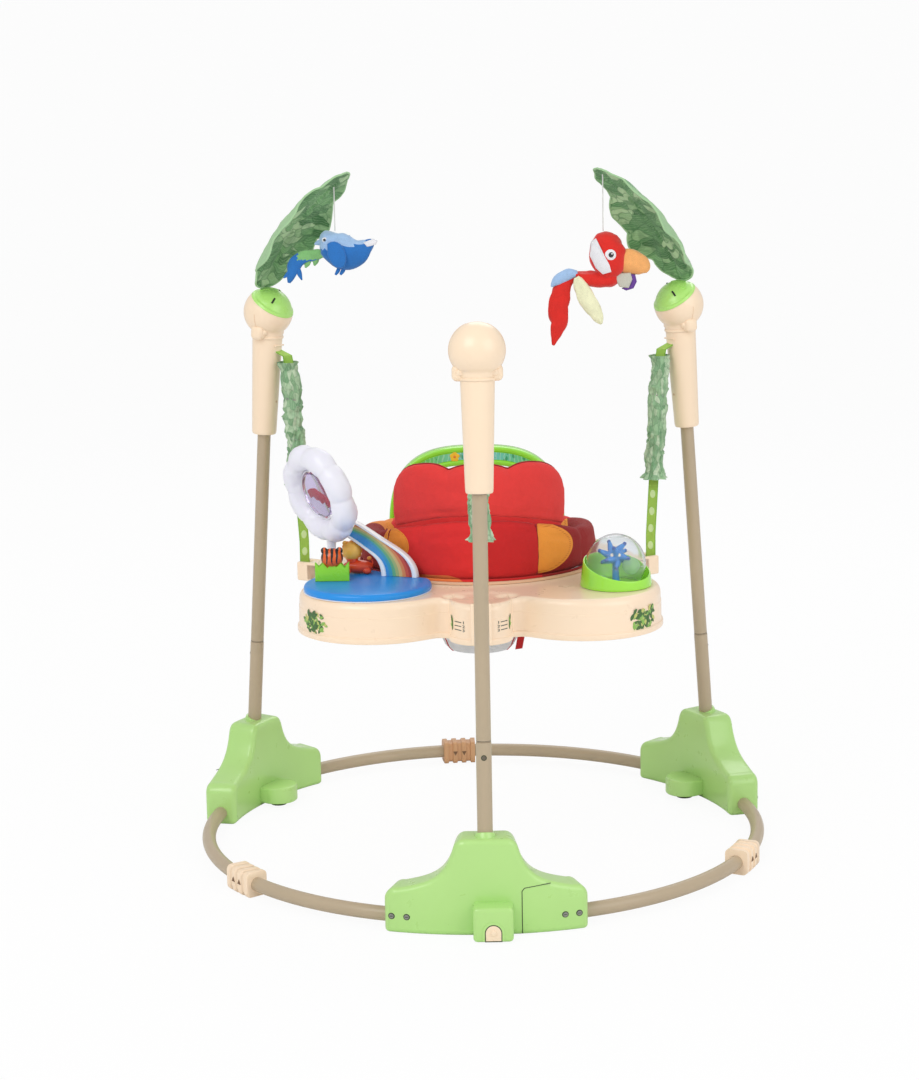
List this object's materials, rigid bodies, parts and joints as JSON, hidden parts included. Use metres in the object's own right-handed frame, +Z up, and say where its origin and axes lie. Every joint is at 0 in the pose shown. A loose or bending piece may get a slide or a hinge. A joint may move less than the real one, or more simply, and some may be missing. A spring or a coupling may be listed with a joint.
{
  "type": "baby activity center",
  "caption": "Bouncing play tray with a turning seat, hung on straps and covered springs from a three-post stand on a floor ring, with toys",
  "frame": {"origin": "On the floor, at the middle of the footprint.", "axes": "+Z is up. The front post stands at -Y. A child in the seat faces +Y, towards the toy arch, with the backrest at -Y."},
  "size_m": [0.932, 0.9792, 1.082],
  "materials": {
    "stand_tube": "taupe powder coat, low sheen",
    "spring_steel": "bright spring wire",
    "peach_plastic": "satin moulded plastic",
    "foot_green": "glossy moulded plastic",
    "lime_plastic": "glossy moulded plastic",
    "blue_plastic": "glossy moulded plastic",
    "orange_plastic": "satin moulded plastic",
    "white_plastic": "satin moulded plastic",
    "cloud_lavender": "satin moulded plastic",
    "clear_plastic": "clear moulded plastic",
    "lime_webbing": "woven webbing",
    "leaf_print_cloth": "printed cotton",
    "red_cloth": "padded polyester cloth",
    "grey_cloth": "woven lining cloth",
    "blue_plush": "short plush",
    "red_plush": "short plush",
    "orange_plush": "short plush",
    "cream_plush": "short plush",
    "white_cord": "braided cord"
  },
  "bodies": {
    "stand": {"base_tube_front": "stand_tube", "base_tube_left": "stand_tube", "base_tube_right": "stand_tube", "ring_coupler_front_right": "peach_plastic", "ring_coupler_rear": "peach_plastic", "ring_coupler_front_left": "peach_plastic", "foot_shell_front": "foot_green", "foot_shell_left": "foot_green", "foot_shell_right": "foot_green", "lower_post_front": "stand_tube", "lower_post_left": "stand_tube", "lower_post_right": "stand_tube", "upper_post_front": "stand_tube", "upper_post_left": "stand_tube", "upper_post_right": "stand_tube", "post_head_front": "peach_plastic", "post_head_left": "peach_plastic", "post_head_right": "peach_plastic", "leaf_socket_left": "lime_plastic", "leaf_socket_right": "lime_plastic", "leaf_left": "leaf_print_cloth", "leaf_right": "leaf_print_cloth", "strap_front": "lime_webbing", "strap_left": "lime_webbing", "strap_right": "lime_webbing", "spring_front": "spring_steel", "spring_left": "spring_steel", "spring_right": "spring_steel", "sleeve_front": "leaf_print_cloth", "sleeve_left": "leaf_print_cloth", "sleeve_right": "leaf_print_cloth"},
    "tray": {"tray": "peach_plastic", "toy_base": "blue_plastic", "rainbow_arch": "white_plastic", "cloud_ring": "cloud_lavender", "lion_toy": "orange_plastic", "dome_base": "lime_plastic", "toy_arch": "lime_plastic"},
    "seat": {"seat_ring": "white_plastic", "seat_wrap": "red_cloth", "seat_back": "red_cloth", "seat_bucket": "grey_cloth"},
    "dome": {"dome": "clear_plastic", "dome_creature": "blue_plastic"},
    "spinner": {"cloud_spinner": "clear_plastic"},
    "tiger": {"tiger_toy": "orange_plastic"},
    "button_front": {"foot_button_front": "peach_plastic"},
    "button_left": {"foot_button_left": "peach_plastic"},
    "button_right": {"foot_button_right": "peach_plastic"},
    "bird": {"string_left": "white_cord", "bird_body": "blue_plush", "bird_tail": "blue_plush"},
    "parrot": {"string_right": "white_cord", "parrot_head": "red_plush", "parrot_beak": "orange_plush", "parrot_body": "red_plush", "parrot_tail": "red_plush", "parrot_wing": "cream_plush"}
  },
  "joints": [
    {"name": "tray_bounce", "type": "slide", "parent": "stand", "child": "tray", "axis": [0, 0, 1], "range_m": [-0.08, 0.05], "stiffness_N_per_m": 750, "springref_m": 0.06004, "deforming": ["strap_front", "strap_left", "strap_right", "spring_front", "spring_left", "spring_right", "sleeve_front", "sleeve_left", "sleeve_right"]},
    {"name": "seat_spin", "type": "hinge", "parent": "tray", "child": "seat", "pos_m": [0, 0.02151, 0.45], "axis": [0, 0, 1], "continuous": true},
    {"name": "dome_spin", "type": "hinge", "parent": "tray", "child": "dome", "pos_m": [0.209, -0.18649, 0.4996], "axis": [0, 0, 1], "continuous": true},
    {"name": "cloud_spin", "type": "hinge", "parent": "tray", "child": "spinner", "pos_m": [-0.244, -0.14049, 0.608], "axis": [-0.2255, -0.1669, 0.9598], "continuous": true},
    {"name": "tiger_turn", "type": "hinge", "parent": "tray", "child": "tiger", "pos_m": [-0.2265, -0.17549, 0.4786], "axis": [0, 0, 1], "range_deg": [-50, 50]},
    {"name": "button_press_front", "type": "slide", "parent": "stand", "child": "button_front", "axis": [0, 1, 0], "range_m": [0, 0.004], "stiffness_N_per_m": 800},
    {"name": "button_press_left", "type": "slide", "parent": "stand", "child": "button_left", "axis": [0.866, -0.5, 0], "range_m": [0, 0.004], "stiffness_N_per_m": 800},
    {"name": "button_press_right", "type": "slide", "parent": "stand", "child": "button_right", "axis": [-0.866, -0.5, 0], "range_m": [0, 0.004], "stiffness_N_per_m": 800},
    {"name": "bird_swing", "type": "hinge", "parent": "stand", "child": "bird", "pos_m": [-0.22387, 0.15076, 1.0615], "axis": [0, 1, 0], "range_deg": [-30, 12]},
    {"name": "parrot_swing", "type": "hinge", "parent": "stand", "child": "parrot", "pos_m": [0.20958, 0.14251, 1.0744], "axis": [0, 1, 0], "range_deg": [-10, 30]}
  ]
}
